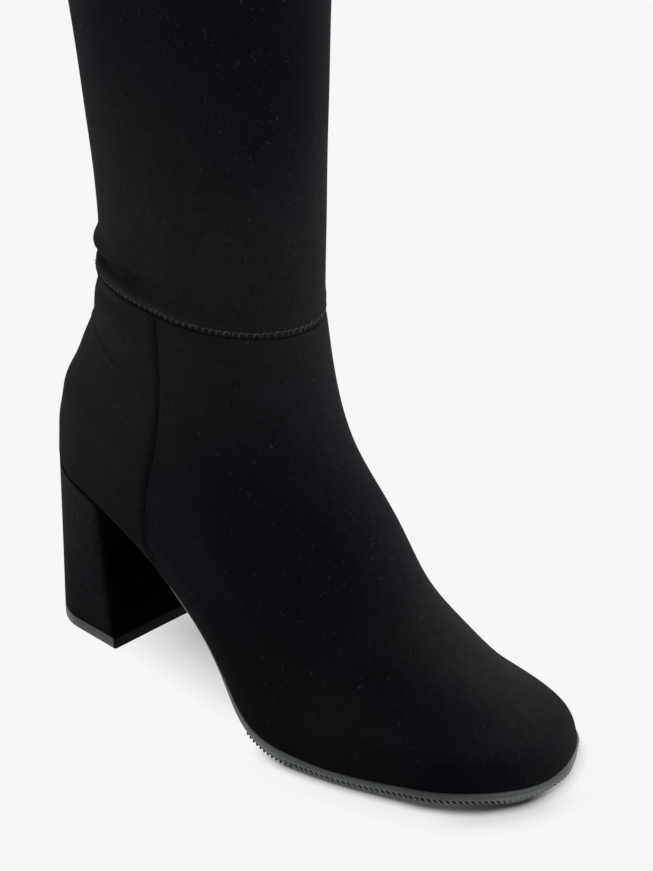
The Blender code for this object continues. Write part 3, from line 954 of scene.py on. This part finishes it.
# The top face, and the straight end at the heel breast.
i = np.arange(half - 1)
faces += np.stack([i, SOLE_POINTS - 1 - i, SOLE_POINTS - 2 - i, i + 1], -1)[:-1].tolist()
faces.append([half - 2, half, half - 1])
end = range(0, len(rows) * SOLE_POINTS, SOLE_POINTS)
faces.append([*end, *range(base + 1, base + ACROSS), *(k + SOLE_POINTS - 1 for k in end[::-1])])
kinds += [0] * (len(faces) - len(kinds))
make("outsole_rubber", points, faces, band_painted_light_rubbers + notch_shade_rubbers, kinds, ("outsole",), 50)

# Towards the waist the teeth leave the floor and hang alone under the edge, in
# near-black rubber that paints the shade on them.
PEG_X = (130.5, 156)  # where they are
PEG_PHASE = 0.45  # their place in the teeth's pitch
PEG_OUT = 1.15  # how far out from the feather line
PEG_Z = np.array((0.3, 0.0, -0.45, -0.8))  # heights about the sole's edge
PEG_RADIUS = np.array((0.40, 0.46, 0.46, 0.33))
paths = []
for centre in (np.arange(1, int(at[-1] / tooth_pitch)) + PEG_PHASE) * tooth_pitch:
    x, y, away_x, away_y, low, inset = (np.interp(centre, at, column)
                                        for column in (*line.T[:2], *away.T, edge, drawn_in))
    if PEG_X[0] < x < PEG_X[1]:
        out = PEG_OUT - inset
        spot = np.tile((x + away_x * out, y + away_y * out), (len(PEG_Z), 1))
        z = np.maximum(low + PEG_Z * (1 - 0.45 * ease((x - 140) / 14)), 0.05)
        paths.append((np.column_stack([spot, z]), np.tile((away_x, away_y, 0.0), (len(PEG_Z), 1))))
threads("outsole_ground_teeth", paths, [PEG_RADIUS] * len(paths), peg_shade_rubber, 8)

# ---- stage
PAPER = 0.930  # linear value of the background
BOUNCE = 0.59  # light that the floor throws up, away from the boot
SKY = (0.02, 0.02)  # light from the horizon and from overhead
LEAN = (-0.35, 0.55, 0.75)  # the light's lean where the boot is on the floor
# Soft shadows on the floor: reach in metres, the way the light leans, the
# darkest share, then the stretches over which it fades in and out, each as
# (how far x, how far y count, start, end, share at the end).
SHADOWS = ((0.005, LEAN, 0.10, (1, 0, 0.138, 0.120, 0.0), (1, 1, 0.208, 0.222, 0.5)),
           (0.018, LEAN, 0.74, (1, 0, 0.165, 0.115, 0.0), (1, 1, 0.208, 0.228, 0.1)),
           (0.016, LEAN, 0.42, (1, 0, 0.213, 0.200, 0.0), (0, 1, -0.014, 0.010, 0.0)),
           (0.060, (0.0, 0.25, 0.97), 0.46, (1, 0, 0.085, 0.110, 0.0), (0.19, 1, 0.010, -0.027, 0.0),
            (1, 0, 0.045, -0.020, 0.0)))


def glowing_material(name):
    """A material that only shines, its node tree and its Emission node."""
    material, tree, shader = new_material(name)
    tree.nodes.remove(shader)
    emission = tree.add("Emission", "Emission")
    tree.feed(tree.nodes["Material Output"], {"Surface": emission})
    return material, tree, emission.node


def paper_material(name, shaded):
    """Evenly lit white, darkened a little where the boot is very near."""
    material, tree, glow = glowing_material(name)
    tree.feed(glow, {"Color": (PAPER,) * 3})
    if not shaded:
        return material
    x, y, _ = tree.add("SeparateXYZ", 0, (tree.add("NewGeometry", "Position"),)).node.outputs
    value = None
    for reach, lean, darkest, *fades in SHADOWS:
        near = tree.add("AmbientOcclusion", "AO",
                        {"Distance": reach, "Normal": Vector(lean).normalized()}, samples=16)
        shade = tree.math("SUBTRACT", 1.0, tree.ramp(near, 0.35, 1.0, darkest, 1.0))
        weight = 1.0
        for by_x, by_y, start, end, share in fades:
            along = tree.math("ADD", tree.times(x, by_x), tree.times(y, by_y))
            weight = tree.times(weight, tree.ramp(along, start, end, 1.0, share))
        part = tree.math("SUBTRACT", 1.0, tree.times(shade, weight))
        value = part if value is None else tree.times(value, part)
    tree.feed(glow, {"Strength": value})
    return material


def staged(name, material):
    """Names the shape that was just added, and gives it its material."""
    thing = bpy.context.object
    thing.name = name
    thing.data.materials.append(material)
    return thing


def disc(name, z, material):
    bpy.ops.mesh.primitive_circle_add(vertices=96, radius=9, fill_type="NGON", location=(0, 0, z))
    return staged(name, material)


# The floor's own light on the boot grows away from it, and less far to its sides.
bounce_material, tree, glow = glowing_material("floor bounce")
spread = tree.add("VectorMath", "Vector", (tree.add("NewGeometry", "Position"), (1, 1.6, 1)),
                  operation="MULTIPLY")
under_foot = (0.09, 0, 0)
tree.feed(glow, {"Strength": tree.ramp(tree.distance(spread, under_foot), 0.13, 0.30, 0.02, BOUNCE)})

floor = disc("floor", -0.0002, paper_material("paper floor", True))
bpy.ops.mesh.primitive_uv_sphere_add(segments=64, ring_count=32, radius=8.9, location=(0, 0, 0))
dome = staged("backdrop", paper_material("paper backdrop", False))
bounce = disc("floor_bounce", -0.001, bounce_material)
for thing in (floor, dome):
    thing.visible_diffuse = thing.visible_shadow = False
dome.visible_glossy = dome.visible_transmission = False
bounce.visible_camera = bounce.visible_glossy = False

world = bpy.data.worlds.new("studio")
bpy.context.scene.world = world
tree = Tree(world)
upward = tree.add("SeparateXYZ", "Z", (tree.add("TexCoord", "Generated"),))
tree.feed(tree.nodes["Background"], {"Color": (1, 1, 1), "Strength": tree.ramp(upward, 0.0, 0.8, *SKY)})


def bearing(azimuth, elevation):
    """The direction from the boot to a bearing in degrees."""
    a, e = np.radians((azimuth, elevation))
    return Vector((np.sin(a) * np.cos(e), -np.cos(a) * np.cos(e), np.sin(e)))


# Area lights that look at the middle of the boot: azimuth, elevation and power.
LIT_PLACE = Vector((0.08, 0, 0.2))
LIGHT_DISTANCE = 1.6
for name, azimuth, elevation, power in (
        ("left", -50, 8, 4.4), ("back left", -85, 8, 4.0), ("right", 95, 8, 8.3),
        ("back right", 160, 30, 6.6), ("high back", 180, 60, 9.0), ("high front", 41, 60, 2.4),
        ("rear fill", 224, 14, 6.0)):
    light = bpy.data.lights.new(name + " softbox", "AREA")
    light.shape = "RECTANGLE"
    light.size, light.size_y = 1.0, 1.2
    light.energy = power
    thing = linked(light.name, light)
    back = bearing(azimuth, elevation)
    thing.location = LIT_PLACE + back * LIGHT_DISTANCE
    thing.rotation_euler = back.to_track_quat("Z", "Y").to_euler()

# ---- camera
CAMERA = dict(azimuth=41.108, elevation=23.254, distance=857.46, target=(112.95, 16.587, 100.0))
FOCAL = 2219.53 / 871  # focal length in picture heights
camera = bpy.data.cameras.new("camera")
camera.sensor_width = 36.0
camera.lens = FOCAL * camera.sensor_width
camera.clip_start, camera.clip_end = 0.05, 30
viewer = linked("camera", camera)
back = bearing(CAMERA["azimuth"], CAMERA["elevation"])
viewer.location = Vector(place([CAMERA["target"]])[0]) + back * CAMERA["distance"] * MM
viewer.rotation_mode = "QUATERNION"
viewer.rotation_quaternion = (-back).to_track_quat("-Z", "Y")
bpy.context.scene.camera = viewer
bpy.context.scene.view_settings.view_transform = "Standard"
